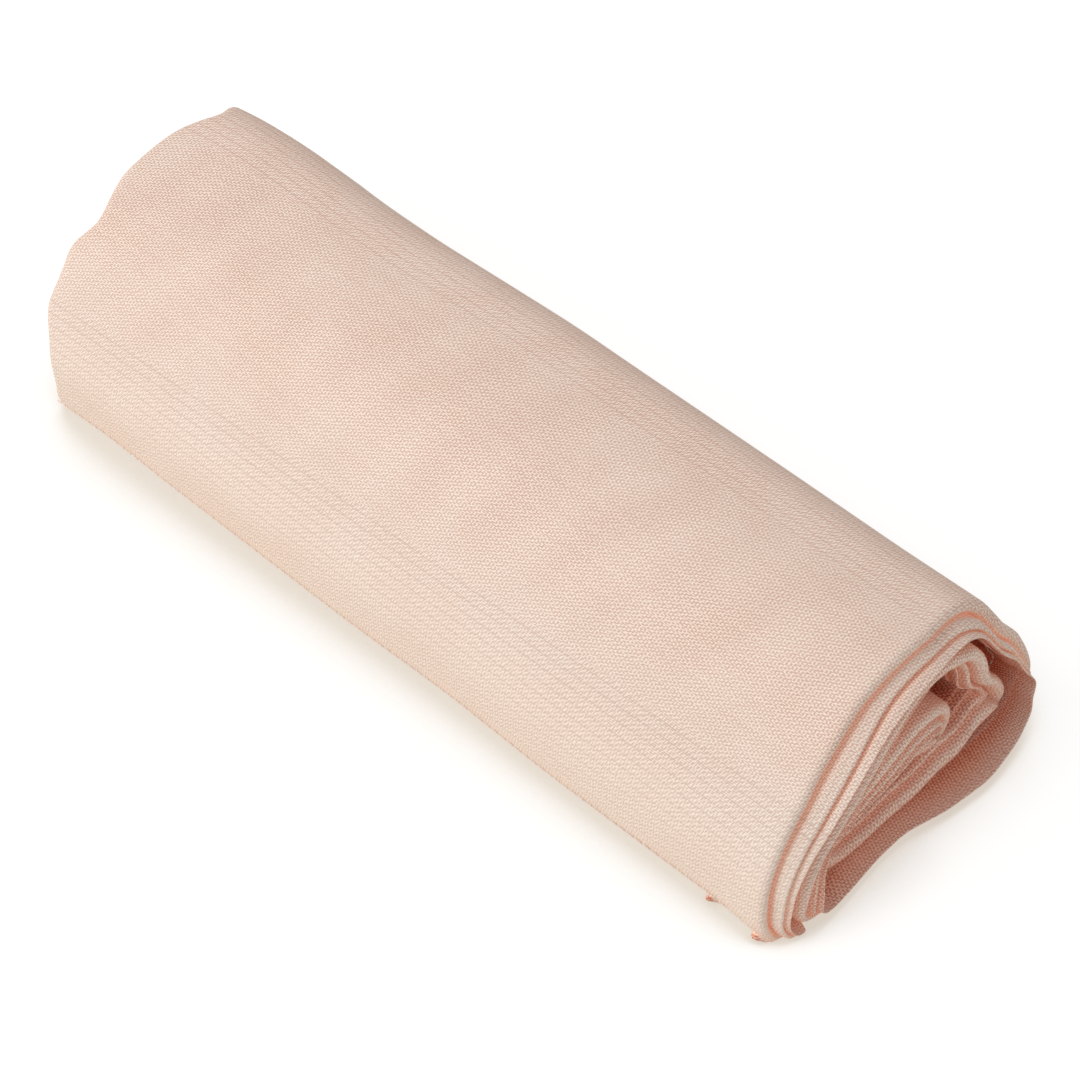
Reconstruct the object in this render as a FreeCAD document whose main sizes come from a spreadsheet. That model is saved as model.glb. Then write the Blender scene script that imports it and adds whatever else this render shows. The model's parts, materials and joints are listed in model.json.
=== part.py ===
"""Baby wrap sling: one long woven cloth, folded in half four times and rolled into a bundle.

Frame: +X along the roll towards its open end, +Z up, -Y to the front, where the cloth's
free edge comes round. The origin is the middle of the bundle's underside. Lengths are in mm.

The folded stack of sixteen layers is drawn as one thick strip. Its section is a spiral of
flat sides joined by round corners. The strip is made of five groups of layers, because the
halving leaves groups of fold lips at the open end, and each group ends at its own place.
"""
import math
import os

import FreeCAD
import Part

Vector = FreeCAD.Vector

SIZES = {
    # the stack of folded cloth
    "layer_pitch": 0.5,           # one layer of cloth with its share of air
    "layers_outer": 8,            # fold lips of the first halving's outer half
    "layers_second": 4,
    "layers_middle": 2,           # the crease at the middle of the cloth
    "layers_tail": 1,             # each of the cloth's two ends
    "turn_gap": 1.2,              # air between one turn of the roll and the next
    # ends of the groups, along the roll, measured on the section's centre
    "far_end": 150.0,             # behind the middle
    "outer_lip": 146.5,
    "second_lip": 151.0,
    "middle_lip": 155.5,
    "right_tail_end": 148.0,
    "left_tail_end": 124.0,
    "inner_recess": 11.0,         # how far the inner turns lie behind the outer one
    "end_lean_across": 0.10,      # drift of the open end towards the back, per mm
    "end_lean_up": 0.08,          # drift of the open end towards the floor, per mm
    "far_lip_radius": 3.2,
    # the outer turn's section: distance of each flat side from the section's centre
    "floor_reach": 32.0,
    "front_reach": 58.0,
    "top_reach": 32.5,
    "top_angle": 88.0,
    "slope_cut": 30.24,           # how deep the slope cuts off the corner of front and top
    "slope_angle": 125.0,
    "back_reach": 45.8,
    "back_angle": 30.0,
    "back_slack": 2.0,            # extra air where the second turn leaves the back
    "slope_corner": 25.0,
    "top_corner": 60.0,
    "back_corner": 20.0,
    "floor_corner": 18.9,
    "front_corner": 10.0,
    "tightest_fold": 0.6,         # least inside radius where the stack turns
    "core_front_corner": 10.0,
    "core_tip_gap": 2.0,          # air between the innermost fold and the back
    "core_end_gap": 1.5,          # air between the last leg's end and the slope
    "flap_curl": 20.0,            # degrees that the free edge curls under
    # the joint where the outer turn opens
    "hinge_clearance": 0.3,
    # sewing
    "hem_width": 9.0,
    "thread_width": 0.8,
    "thread_height": 0.3,
    "thread_clearance": 0.15,     # between a thread and the round faces that it follows
    "rail_thread_inset": 6.0,
    # the middle markers and the care label
    "marker_width": 12.0,
    "marker_depth": 2.4,
    "marker_thick": 1.1,
    "marker_inset": 8.0,
    "label_length": 26.0,
    "label_width": 12.0,
    "label_thick": 0.4,
    "label_inset": 30.0,
    "stitch_length": 3.0,
}

doc = FreeCAD.newDocument("wrap_sling")
sheet = doc.addObject("Spreadsheet::Sheet", "sizes")
for row, (alias, value) in enumerate(SIZES.items(), start=1):
    sheet.set("A%d" % row, alias)
    sheet.set("B%d" % row, str(value))
    sheet.setAlias("B%d" % row, alias)
doc.recompute()


def size(alias):
    """The sheet's own value of a size."""
    return float(sheet.get(alias))


# ---------------------------------------------------------------- the spiral section

layer = size("layer_pitch")
DEPTHS = [0.0]
for group in ("layers_outer", "layers_second", "layers_middle", "layers_tail", "layers_tail"):
    DEPTHS.append(DEPTHS[-1] + layer * size(group))
stack = DEPTHS[-1]
pitch = stack + size("turn_gap")
least_corner = stack + size("tightest_fold")


def unit(angle):
    """Unit vector in the section at an angle from +Y towards +Z."""
    return Vector(0, math.cos(math.radians(angle)), math.sin(math.radians(angle)))


CENTRE = Vector(0, 0, size("floor_reach"))


def corner_centre(first, second, radius):
    """Centre of the round corner between two flat sides, each an (angle, reach)."""
    a1, d1 = math.radians(first[0]), first[1] - radius
    a2, d2 = math.radians(second[0]), second[1] - radius
    det = math.sin(a2 - a1)
    y = (d1 * math.sin(a2) - d2 * math.sin(a1)) / det
    z = (d2 * math.cos(a1) - d1 * math.cos(a2)) / det
    return CENTRE + Vector(0, y, z)


def across_at_height(angle, reach, height):
    """How far across a slanting side lies at a height above the floor."""
    rise = (height - CENTRE.z) * math.sin(math.radians(angle))
    return (reach - rise) / math.cos(math.radians(angle))


def slope_reach():
    """The slope's distance from the centre, where it cuts the corner of front and top."""
    corner = corner_centre((180.0, size("front_reach")), (size("top_angle"), size("top_reach")), 0)
    return (corner - CENTRE).dot(unit(size("slope_angle"))) - size("slope_cut")


def back_reach(turn):
    return size("back_reach") - size("back_slack") * turn - pitch * turn


def flat_sides():
    """Sides of the two full turns, outermost first, as (angle, reach, corner after it)."""
    sides = []
    for turn in range(2):
        inward = pitch * turn
        for angle, reach, corner in (
                (180.0, size("front_reach") - inward, size("slope_corner")),
                (size("slope_angle"), slope_reach() - inward, size("top_corner")),
                (size("top_angle"), size("top_reach") - inward, size("back_corner")),
                (size("back_angle"), back_reach(turn), size("floor_corner")),
                (-90.0, size("floor_reach") - inward, size("front_corner"))):
            radius = max(corner - inward, least_corner)
            sides.append((angle - 360.0 * turn, reach, radius))
    return sides


def round_corners():
    """Corners of the whole spiral, from the free edge in to the core."""
    sides = flat_sides()
    corners = []
    for first, second in zip(sides, sides[1:]):
        corners.append((corner_centre(first, second, first[2]), first[2], first[0], second[0]))
    # the free edge curls round the corner that lies inside it
    inner_centre = corners[4][0]
    curl = size("front_reach") + inner_centre.y
    corners.insert(0, (inner_centre, curl, 180.0 + size("flap_curl"), 180.0))
    # the core turns up at the front, lies back along the slope and turns down at its tip
    slope = (size("slope_angle") - 720.0, slope_reach() - 2 * pitch)
    crown = (-630.0, size("top_reach") - 2 * pitch)
    tip = (CENTRE.z + crown[1] - 2 * pitch) / 2
    tip_z = 2 * pitch + tip
    room = back_reach(1) - stack - size("core_tip_gap") - tip
    tip_y = across_at_height(size("back_angle"), room, tip_z)
    # the shoulder follows the turn above it, as far as the crown is long enough for it
    half_turn = math.radians(slope[0] - crown[0]) / 2
    crown_length = tip_y - corner_centre(slope, crown, 0).y
    shoulder = min(size("top_corner") - 2 * pitch, crown_length / math.tan(half_turn))
    for first, second, radius in ((sides[-1], slope, size("core_front_corner")),
                                  (slope, crown, shoulder)):
        corners.append((corner_centre(first, second, radius), radius, first[0], second[0]))
    corners.append((Vector(0, tip_y, tip_z), tip, -630.0, -810.0))
    corners.append((Vector(0, core_end(slope[1]), tip_z), tip, -810.0, -810.0))
    return corners


def core_end(slope):
    """Where the last leg stops, just short of the slope above it."""
    under_slope = slope - stack - size("core_end_gap")
    return across_at_height(size("slope_angle"), under_slope, 2 * pitch + stack)


CORNERS = round_corners()
FLAP_CORNERS = 2      # the curl and the front shoulder belong to the flap
OUTER_CORNERS = 5     # the corners of the outer turn, with the curl


def on_corner(corner, depth, angle):
    """Point on a corner at a depth below the stack's outer face."""
    centre, radius = corner[0], corner[1]
    return centre + unit(angle) * (radius - depth)


def hinge_point(depth, along=0.0):
    """Point on the front slope where the outer turn hinges; along runs to the front."""
    below = on_corner(CORNERS[1], depth, size("slope_angle"))
    above = on_corner(CORNERS[2], depth, size("slope_angle"))
    middle = (below + above) * 0.5
    return middle + unit(size("slope_angle") + 90.0) * along


def path_edges(depth, first, last, start, finish):
    """Edges of one face of the strip, over corners first to last, between two ends."""
    edges = []
    here = start
    for corner in CORNERS[first:last]:
        _centre, _radius, angle_in, angle_out = corner
        entry = on_corner(corner, depth, angle_in)
        if here is not None and (entry - here).Length > 1e-6:
            edges.append(Part.LineSegment(here, entry).toShape())
        here = entry
        if angle_in != angle_out:
            middle = on_corner(corner, depth, (angle_in + angle_out) / 2)
            leave = on_corner(corner, depth, angle_out)
            edges.append(Part.Arc(entry, middle, leave).toShape())
            here = leave
    if finish is not None and (finish - here).Length > 1e-6:
        edges.append(Part.LineSegment(here, finish).toShape())
        here = finish
    return edges, here


def strip_face(top, bottom, first, last, start=None, finish=None):
    """Face of the strip between two depths; start and finish map a depth to a point."""
    outline = []
    ends = []
    for depth in (top, bottom):
        begin = start(depth) if start else None
        close = finish(depth) if finish else None
        edges, stop = path_edges(depth, first, last, begin, close)
        begin = begin or on_corner(CORNERS[first], depth, CORNERS[first][2])
        outline += edges
        ends.append((begin, stop))
    outline.append(Part.LineSegment(ends[0][0], ends[1][0]).toShape())
    outline.append(Part.LineSegment(ends[0][1], ends[1][1]).toShape())
    return Part.Face(Part.Wire(Part.__sortEdges__(outline)))


def flap_face(top, bottom):
    gap = size("hinge_clearance")
    return strip_face(top, bottom, 0, FLAP_CORNERS, finish=lambda depth: hinge_point(depth, gap))


def outer_face(top, bottom):
    inner_start = CORNERS[OUTER_CORNERS]
    return strip_face(top, bottom, FLAP_CORNERS, OUTER_CORNERS, start=hinge_point,
                      finish=lambda depth: on_corner(inner_start, depth, inner_start[2]))


def inner_face(top, bottom):
    return strip_face(top, bottom, OUTER_CORNERS, len(CORNERS))


def roll_face(top, bottom):
    return strip_face(top, bottom, FLAP_CORNERS, len(CORNERS), start=hinge_point)


def centre_line_length():
    """Length of the stack's middle line, which is the cloth's width."""
    edges, _stop = path_edges(stack / 2, 0, len(CORNERS), None, None)
    return sum(edge.Length for edge in edges)


# ---------------------------------------------------------------- document helpers

LEAN = Vector(1, -size("end_lean_across"), size("end_lean_up"))
FAR_X = -size("far_end")
REACH = 500.0         # larger than the whole bundle, for trimming tools


def feature(name, shape):
    """A document object holding a shape made by Part's own functions."""
    item = doc.addObject("Part::Feature", name)
    item.Shape = shape
    return item


def leaning(distance):
    """Placement of the open end's leaning plane at a distance along the roll."""
    through = CENTRE + Vector(distance, 0, 0)
    return FreeCAD.Placement(through, FreeCAD.Rotation(Vector(1, 0, 0), LEAN))


def extruded(name, face):
    """The strip's face drawn out along the roll, well past the open end."""
    section = feature(name + "_section", face)
    section.Placement.Base = Vector(FAR_X, 0, 0)
    item = doc.addObject("Part::Extrusion", name + "_length")
    item.Base = section
    item.DirMode = "Custom"
    item.Dir = Vector(1, 0, 0)
    item.Solid = True
    item.setExpression("LengthFwd", "sizes.far_end + sizes.middle_lip + sizes.hem_width * 4")
    return item


def slab(name, near, far=None):
    """A leaning block from one distance along the roll to another, or to far behind."""
    box = doc.addObject("Part::Box", name)
    box.Length = REACH if far is None else near - far
    box.Width = REACH
    box.Height = REACH
    place = leaning(near)
    box.Placement = place.multiply(FreeCAD.Placement(
        Vector(-box.Length.Value, -REACH / 2, -REACH / 2), FreeCAD.Rotation()))
    return box


def kept_inside(name, item, block):
    common = doc.addObject("Part::Common", name)
    common.Base = item
    common.Tool = block
    return common


def joined(name, items):
    fuse = doc.addObject("Part::MultiFuse", name)
    fuse.Shapes = items
    fuse.Refine = True
    return fuse


GROUP_ENDS = ("outer_lip", "second_lip", "middle_lip", "right_tail_end", "left_tail_end")


def stepped_cloth(name, face_of, recess):
    """The five groups of layers of one stretch of the strip, each to its own end."""
    groups = []
    for number, alias in enumerate(GROUP_ENDS):
        label = "%s_%s" % (name, alias)
        strip = extruded(label, face_of(DEPTHS[number], DEPTHS[number + 1]))
        groups.append(kept_inside(label, strip, slab(label + "_end", size(alias) - recess)))
    return groups


def far_edges(shape):
    """Numbers of the edges round the far end, where the folds are rounded."""
    found = []
    for number, edge in enumerate(shape.Edges, start=1):
        box = edge.BoundBox
        lies_flat = box.XMax - box.XMin < 1e-4 and abs(box.XMin - FAR_X) < 1e-4
        if lies_flat and face_side(edge):
            found.append(number)
    return found


def face_side(edge):
    """True for an edge that runs along the stack, not across its thickness."""
    return edge.Length > stack * 1.01 or edge.Curve.TypeId == "Part::GeomCircle"


def rounded_far_end(name, item):
    doc.recompute()
    fillet = doc.addObject("Part::Fillet", name)
    fillet.Base = item
    radius = size("far_lip_radius")
    fillet.Edges = [(number, radius, radius) for number in far_edges(item.Shape)]
    return fillet


def named(item, label):
    item.Label = label
    NODES.append(item)
    return item


NODES = []

# ---------------------------------------------------------------- the cloth

flap = joined("flap_layers", stepped_cloth("flap", flap_face, 0.0))
roll = joined("roll_layers", stepped_cloth("outer", outer_face, 0.0)
              + stepped_cloth("inner", inner_face, size("inner_recess")))
named(rounded_far_end("flap_cloth", flap), "cloth_flap")
named(rounded_far_end("roll_cloth", roll), "cloth_roll")

# ---------------------------------------------------------------- hem threads of the two tails


def tail_thread(label, depth, tail_end):
    """A line of stitching along a tail's hem, on the face that the tail leaves open."""
    inside = size(tail_end) - size("inner_recess") - size("hem_width")
    high = depth + size("thread_clearance")
    low = high + size("thread_height")
    for part, face_of in (("", roll_face), ("_on_flap", flap_face)):
        strip = extruded(label + part, face_of(high, low))
        line = slab(label + part + "_line", inside, inside - size("thread_width"))
        named(kept_inside(label + part + "_thread", strip, line), label + part)


tail_thread("left_tail_thread", DEPTHS[5], "left_tail_end")
tail_thread("right_tail_thread", DEPTHS[4], "right_tail_end")

# ---------------------------------------------------------------- rail threads, markers, label


def block(label, low, extent, placement=None):
    """A small sewn piece: a box whose sides are bound to named sizes."""
    box = doc.addObject("Part::Box", label + "_box")
    for side, value in zip(("Length", "Width", "Height"), extent):
        box.setExpression(side, value)
    base = FreeCAD.Placement(low, FreeCAD.Rotation())
    box.Placement = placement.multiply(base) if placement else base
    return named(box, label)


inset = size("rail_thread_inset")
rail_run = "sizes.far_end - sizes.rail_thread_inset + "
bottom_run = rail_run + "sizes.outer_lip - 2 * sizes.rail_thread_inset"
top_run = rail_run + "sizes.left_tail_end - sizes.inner_recess - sizes.hem_width - 2 * sizes.thread_width"
curl_length = math.radians(size("flap_curl")) * CORNERS[0][1]
rail_rise = CORNERS[0][0].z + size("hem_width") - curl_length
block("bottom_rail_thread",
      Vector(FAR_X + inset, -size("front_reach") - size("thread_height"), rail_rise),
      (bottom_run, "sizes.thread_height", "sizes.thread_width"))

core_floor = 2 * pitch + stack
core_edge_y = CORNERS[-1][0].y
block("top_rail_thread", Vector(FAR_X + inset, core_edge_y + size("hem_width"), core_floor),
      (top_run, "sizes.thread_width", "sizes.thread_height"))

marker_size = ("sizes.marker_width", "sizes.marker_depth", "sizes.marker_thick")
stitch_size = ("sizes.stitch_length", "sizes.thread_width", "sizes.thread_height")
marker_x = size("middle_lip") - size("marker_inset") - size("marker_width")
stitch_in = (size("marker_width") - size("stitch_length")) / 2
stitch_out = (size("marker_depth") - size("thread_width")) / 2

# the markers are folded over the rail's edge at the cloth's middle, so they lie in its crease
curl_angle = CORNERS[0][2]
edge_point = on_corner(CORNERS[0], DEPTHS[2], curl_angle) + Vector(marker_x, 0, 0)
flap_edge = FreeCAD.Placement(edge_point, FreeCAD.Rotation(Vector(1, 0, 0), curl_angle + 90.0))
block("bottom_middle_marker", Vector(0, 0, 0), marker_size, flap_edge)
block("bottom_marker_thread", Vector(stitch_in, stitch_out, -size("thread_height")),
      stitch_size, flap_edge)

core_edge = FreeCAD.Placement(
    Vector(marker_x - size("inner_recess"), core_edge_y - size("marker_depth"),
           2 * pitch + DEPTHS[2]), FreeCAD.Rotation())
block("top_middle_marker", Vector(0, 0, 0), marker_size, core_edge)
block("top_marker_thread", Vector(stitch_in, stitch_out, size("marker_thick")),
      stitch_size, core_edge)

label_y = core_edge_y + size("hem_width") + 2 * size("thread_width")
label_low = Vector(size("left_tail_end") - size("inner_recess") - size("label_inset")
                   - size("label_length"), label_y, core_floor)
block("care_label", label_low, ("sizes.label_length", "sizes.label_width", "sizes.label_thick"))
stitch_low = label_low + Vector(size("stitch_length"), size("thread_width"), size("label_thick"))
block("care_label_thread", stitch_low,
      ("sizes.label_length - 2 * sizes.stitch_length", "sizes.thread_width",
       "sizes.thread_height"))

# ---------------------------------------------------------------- placing, checking, writing

doc.recompute()
whole = FreeCAD.BoundBox()
for node in NODES:
    whole.add(node.Shape.optimalBoundingBox())
home = Vector(-whole.Center.x, -whole.Center.y, -whole.ZMin)
for node in NODES:
    node.Placement.Base = node.Placement.Base + home
doc.recompute()

for item in doc.Objects:
    if "Invalid" in item.State or "Error" in item.State:
        raise RuntimeError("%s did not compute: %s" % (item.Name, item.State))
os.makedirs("parts", exist_ok=True)
for node in NODES:
    shape = node.Shape
    if shape.isNull() or not shape.isValid() or not shape.Solids:
        raise RuntimeError("%s has no valid solid" % node.Label)
    shape.exportStep("parts/%s.step" % node.Label)
    box = shape.optimalBoundingBox()
    print("%-24s %d solids %9.1f mm3  x %.1f..%.1f y %.1f..%.1f z %.1f..%.1f" % (
        node.Label, len(shape.Solids), shape.Volume,
        box.XMin, box.XMax, box.YMin, box.YMax, box.ZMin, box.ZMax))

hinge = hinge_point(0.0) + home
print("cloth width along the spiral %.1f" % centre_line_length())
print("stack %.2f  pitch %.2f" % (stack, pitch))
print("hinge y %.2f z %.2f  moved by %.3f %.3f %.3f" % (hinge.y, hinge.z, home.x, home.y, home.z))
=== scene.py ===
# %% [markdown]
# # A baby wrap sling, folded and rolled
#
# A wrap sling is one long woven cloth. Folded in half four times it is a stack of sixteen
# layers, and the stack is rolled from one selvage to the other. This lesson rebuilds that
# bundle round a packed frame: the frame holds sizes, bodies and the hinge where the outer
# turn opens, and everything here is laid on it in metres, with +X along the roll.

# %% Load the frame
import json
import math
import bpy
import numpy as np
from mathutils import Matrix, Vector


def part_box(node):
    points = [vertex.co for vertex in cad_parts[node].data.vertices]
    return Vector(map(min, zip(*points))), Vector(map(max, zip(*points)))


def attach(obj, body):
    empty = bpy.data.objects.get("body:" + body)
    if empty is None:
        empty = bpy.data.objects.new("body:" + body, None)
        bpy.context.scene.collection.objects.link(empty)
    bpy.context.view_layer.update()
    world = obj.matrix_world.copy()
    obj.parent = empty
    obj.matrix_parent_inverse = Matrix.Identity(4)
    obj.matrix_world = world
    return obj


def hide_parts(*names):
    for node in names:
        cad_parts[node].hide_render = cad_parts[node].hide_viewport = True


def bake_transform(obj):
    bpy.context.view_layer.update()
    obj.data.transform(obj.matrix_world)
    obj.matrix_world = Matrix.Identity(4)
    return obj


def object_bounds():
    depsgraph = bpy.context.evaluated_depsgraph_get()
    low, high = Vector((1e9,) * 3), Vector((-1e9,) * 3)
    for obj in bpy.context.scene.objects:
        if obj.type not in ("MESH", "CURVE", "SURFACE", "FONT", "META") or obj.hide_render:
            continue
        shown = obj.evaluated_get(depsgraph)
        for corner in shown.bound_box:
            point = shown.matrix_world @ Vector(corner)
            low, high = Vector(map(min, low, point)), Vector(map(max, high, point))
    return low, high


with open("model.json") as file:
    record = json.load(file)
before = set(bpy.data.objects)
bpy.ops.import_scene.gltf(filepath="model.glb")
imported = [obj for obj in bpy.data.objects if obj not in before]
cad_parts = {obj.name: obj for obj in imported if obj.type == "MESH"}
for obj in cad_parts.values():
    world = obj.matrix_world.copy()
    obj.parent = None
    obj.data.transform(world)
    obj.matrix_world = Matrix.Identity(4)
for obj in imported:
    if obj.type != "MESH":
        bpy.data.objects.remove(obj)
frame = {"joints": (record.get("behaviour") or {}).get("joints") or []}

MM = 0.001
cad_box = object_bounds()
low, high = (Vector(corner) for corner in cad_box)
print("frame box", [round(v / MM, 1) for v in (*low, *high)])

# %% [markdown]
# ## The section of the roll
#
# Seen from its open end the roll is a spiral of flat sides joined by round corners, like a
# belt wound round a soft brick. A freehand curve would do, but the sides of each turn lie
# one stack inside the last, so a short list of sides with one rule for the corners keeps
# every turn clear of the next. The innermost fold is drawn tighter than a circle of the
# roll would be, because the hand presses it flat.

# %% Values of the section
LAYER = 0.5 * MM
LAYERS = 16
STACK = LAYERS * LAYER
PITCH = STACK + 1.2 * MM
LEAST_CORNER = STACK + 0.6 * MM
FLOOR_REACH = 32.0 * MM
# angle of the side from +Y, distance from the centre, corner that follows it
FRONT = (180.0, 58.0 * MM, 25.0 * MM)
SLOPE = (125.0, 31.3 * MM, 60.0 * MM)
TOP = (88.0, 32.5 * MM, 20.0 * MM)
BACK = (30.0, 45.8 * MM, 18.9 * MM)
FLOOR = (-90.0, FLOOR_REACH, 10.0 * MM)
BACK_SLACK = 2.0 * MM
# the free edge meets the floor at the first angle and is tucked under to the second
CURL = 30.0
TUCK = 57.0
SHOULDER = 30.0 * MM
CORE_CORNER = 10.0 * MM
TIP_RADIUS = 11.0 * MM
TIP_CENTRE = (8.1 * MM, 33.0 * MM)
LAST_LEG = 24.0 * MM
print("stack of %d layers %.1f mm thick, wound at a pitch of %.1f mm"
      % (LAYERS, STACK / MM, PITCH / MM))

# %% Round corners of the spiral
def unit(angle):
    """Unit vectors (y, z) at angles in degrees from +Y towards +Z."""
    a = np.radians(angle)
    return np.stack([np.cos(a), np.sin(a)], axis=-1)


def corner_centre(first, second, radius):
    """Centre of the round corner between two flat sides."""
    a1, d1 = math.radians(first[0]), first[1] - radius
    a2, d2 = math.radians(second[0]), second[1] - radius
    turn = math.sin(a2 - a1)
    y = (d1 * math.sin(a2) - d2 * math.sin(a1)) / turn
    z = (d2 * math.cos(a1) - d1 * math.cos(a2)) / turn
    return np.array([y, z + FLOOR_REACH])


def round_corners():
    """Corners of the spiral as (centre, radius, angle in, angle out), from the free edge in."""
    sides = []
    for turn in range(2):
        inward = PITCH * turn
        for side in (FRONT, SLOPE, TOP, BACK, FLOOR):
            slack = BACK_SLACK * turn if side is BACK else 0.0
            radius = max(side[2] - inward, LEAST_CORNER)
            sides.append((side[0] - 360.0 * turn, side[1] - slack - inward, radius))
    corners = [(corner_centre(a, b, a[2]), a[2], a[0], b[0]) for a, b in zip(sides, sides[1:])]
    inner = corners[4][0]
    corners.insert(0, (inner, FRONT[1] + inner[0], 180.0 + TUCK, 180.0))
    slope = (SLOPE[0] - 720.0, SLOPE[1] - 2 * PITCH)
    crown = (-630.0, TIP_CENTRE[1] + TIP_RADIUS - FLOOR_REACH)
    for a, b, radius in ((sides[-1], slope, CORE_CORNER), (slope, crown, SHOULDER)):
        corners.append((corner_centre(a, b, radius), radius, a[0], b[0]))
    tip = np.array(TIP_CENTRE)
    corners.append((tip, TIP_RADIUS, -630.0, -810.0))
    corners.append((tip - (LAST_LEG, 0.0), TIP_RADIUS, -810.0, -810.0))
    return corners


EDGE_RADIUS = round_corners()[0][1]
print("%d round corners, the free edge's of %.0f mm" % (len(round_corners()), EDGE_RADIUS / MM))


# %% Trace the section
def trace(corners):
    """The stack's outer face as rows of (distance along, y, z, angle of its normal)."""
    rows = []
    gone = 0.0
    previous = None
    for centre, radius, angle_in, angle_out in corners:
        if previous is not None:
            start = previous[0] + unit(previous[2]) * previous[1]
            end = centre + unit(angle_in) * radius
            rows.append((gone, *start, angle_in))
            gone += float(np.linalg.norm(end - start))
        steps = max(1, int(abs(angle_out - angle_in) / 2.0))
        for step in range(steps + 1):
            angle = angle_in + (angle_out - angle_in) * step / steps
            along = gone + abs(math.radians(angle - angle_in)) * radius
            rows.append((along, *(centre + unit(angle) * radius), angle))
        gone += abs(math.radians(angle_out - angle_in)) * radius
        previous = (centre, radius, angle_out)
    return np.array(rows)


SECTION = trace(round_corners())
# distances count from where the cloth meets the floor, and the tucked hem lies before that
TUCK_LENGTH = math.radians(TUCK - CURL) * EDGE_RADIUS
SECTION[:, 0] -= TUCK_LENGTH
SECTION_LENGTH = SECTION[-1, 0]
# the frame's origin is under the middle of its box, so the section moves there with it
SHIFT_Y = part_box("cloth_roll")[1].y - SECTION[:, 1].max()


def section_at(s):
    """Points (y, z) and normal angles of the outer face at distances s from the free edge."""
    y = np.interp(s, SECTION[:, 0], SECTION[:, 1]) + SHIFT_Y
    z = np.interp(s, SECTION[:, 0], SECTION[:, 2])
    angle = np.interp(s, SECTION[:, 0], SECTION[:, 3])
    return y, z, angle


print("section %.0f mm along, shifted by %.2f mm" % (SECTION_LENGTH / MM, SHIFT_Y / MM))

# %% [markdown]
# ## How the layers are folded
#
# Halving a strip four times shuffles its sixteenths in a fixed way. The list below repeats
# the folding itself: each halving turns the right half over onto the left. It says which
# sixteenth lies at which depth, and so where each fold lip is: at the open end pairs of
# layers nest in three groups of lips, and the cloth's two hemmed tails end free inside them.

# %% Fold the strip
HALVINGS = 4


def stacked(halvings):
    """Sixteenths of the cloth from the outermost layer to the innermost."""
    piles = [[n] for n in range(2 ** halvings)]
    while len(piles) > 1:
        half = len(piles) // 2
        piles = [piles[-1 - n][::-1] + piles[n] for n in range(half)]
    return piles[0]


PILE = stacked(HALVINGS)
DEPTH_OF = [PILE.index(n) for n in range(LAYERS)]
print("depth of each sixteenth", DEPTH_OF)

# %% [markdown]
# ## Where the lips end
#
# The lips at the open end are not level. In the outer turn each group is pushed out a little
# past the one outside it, and at the back the whole edge flares. These short lists say how
# far along the roll a group reaches, against the distance along the section from the free
# edge. A list read straight would leave corners, so it is spread on a fine grid and blurred.

# %% Reach of the lips
# (distance along the section, reach along the roll), in millimetres
OUTER_LIP = [(0, 148), (17, 144), (33, 141.5), (57, 138), (81, 137), (96, 138), (111, 139),
             (118, 138.5), (129, 139.5), (150, 144.5), (190, 150.5), (230, 153), (262, 149.5),
             (285, 150.5), (301, 150.5), (309, 150.3), (323, 148.5), (351, 147), (378, 144.5),
             (390, 145), (404, 148), (420, 150), (445, 151), (470, 150.5), (490, 149),
             (513, 147), (530, 146), (558, 147), (590, 147.5), (615, 147), (640, 144)]
SECOND_LIP = [(0, 151), (14, 148), (34, 146.3), (50, 144.5), (65, 143.5), (86, 141.5),
              (95, 141.5), (107, 142), (116, 141.8), (125, 143), (150, 147.5), (190, 153),
              (230, 156), (262, 150.5), (285, 151.5), (301, 152), (309, 150), (323, 146.5),
              (351, 145), (378, 143), (390, 143), (404, 146), (420, 147.5), (445, 148),
              (470, 147), (490, 145.5), (513, 144), (530, 145.5), (558, 148), (590, 148.5),
              (615, 148), (640, 145)]
MIDDLE_LIP = [(0, 152), (14, 149.5), (31, 148.5), (52, 147.5), (79, 146.3), (96, 146), (105, 146),
              (115, 145), (130, 145.8), (150, 150), (188, 156), (212, 159.3), (224, 160.3),
              (241, 157.5), (255, 153), (267, 152.5), (285, 153.5), (301, 153.5), (309, 151),
              (323, 147.5), (351, 146), (378, 143.5), (390, 142.5), (404, 144), (420, 145),
              (445, 145), (470, 143.5), (490, 142), (513, 141), (530, 145), (558, 149),
              (590, 149.5), (615, 149), (640, 146)]
RIGHT_TAIL = [(0, 140), (90, 139), (125, 143), (150, 148), (212, 149), (262, 145), (301, 144),
              (323, 142), (378, 140), (404, 140), (445, 141.5), (513, 138), (558, 144),
              (640, 142)]
LEFT_TAIL = [(0, 124), (301, 124), (323, 113), (640, 113)]
FAR_LIP = [(0, -153), (14, -152), (25, -150), (36, -153), (44, -159.5), (52, -160.5),
           (62, -163.5), (73, -159), (90, -163.5), (101, -163), (111, -162), (124, -156),
           (140, -163), (157, -159), (172, -161.5), (190, -157), (210, -158), (240, -154),
           (285, -155), (320, -152), (345, -154), (375, -152), (405, -155), (440, -152),
           (520, -153), (640, -151)]
# the corner between the free edge and each lip is round
LIP_CORNER = 3.0
GRID = np.arange(0.0, SECTION_LENGTH / MM + 1.0)
print("lips listed at %d places" % sum(map(len, (OUTER_LIP, SECOND_LIP, MIDDLE_LIP, FAR_LIP))))


# %% Smooth the lips
def reach(table, blur=2.5, grid=GRID):
    """A reach list as a smooth curve on a millimetre grid."""
    values = np.interp(grid, *zip(*table))
    offsets = np.arange(-12, 13)
    weights = np.exp(-0.5 * (offsets / blur) ** 2)
    padded = np.pad(values, 12, mode="edge")
    return np.convolve(padded, weights / weights.sum(), mode="valid") * MM


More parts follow.
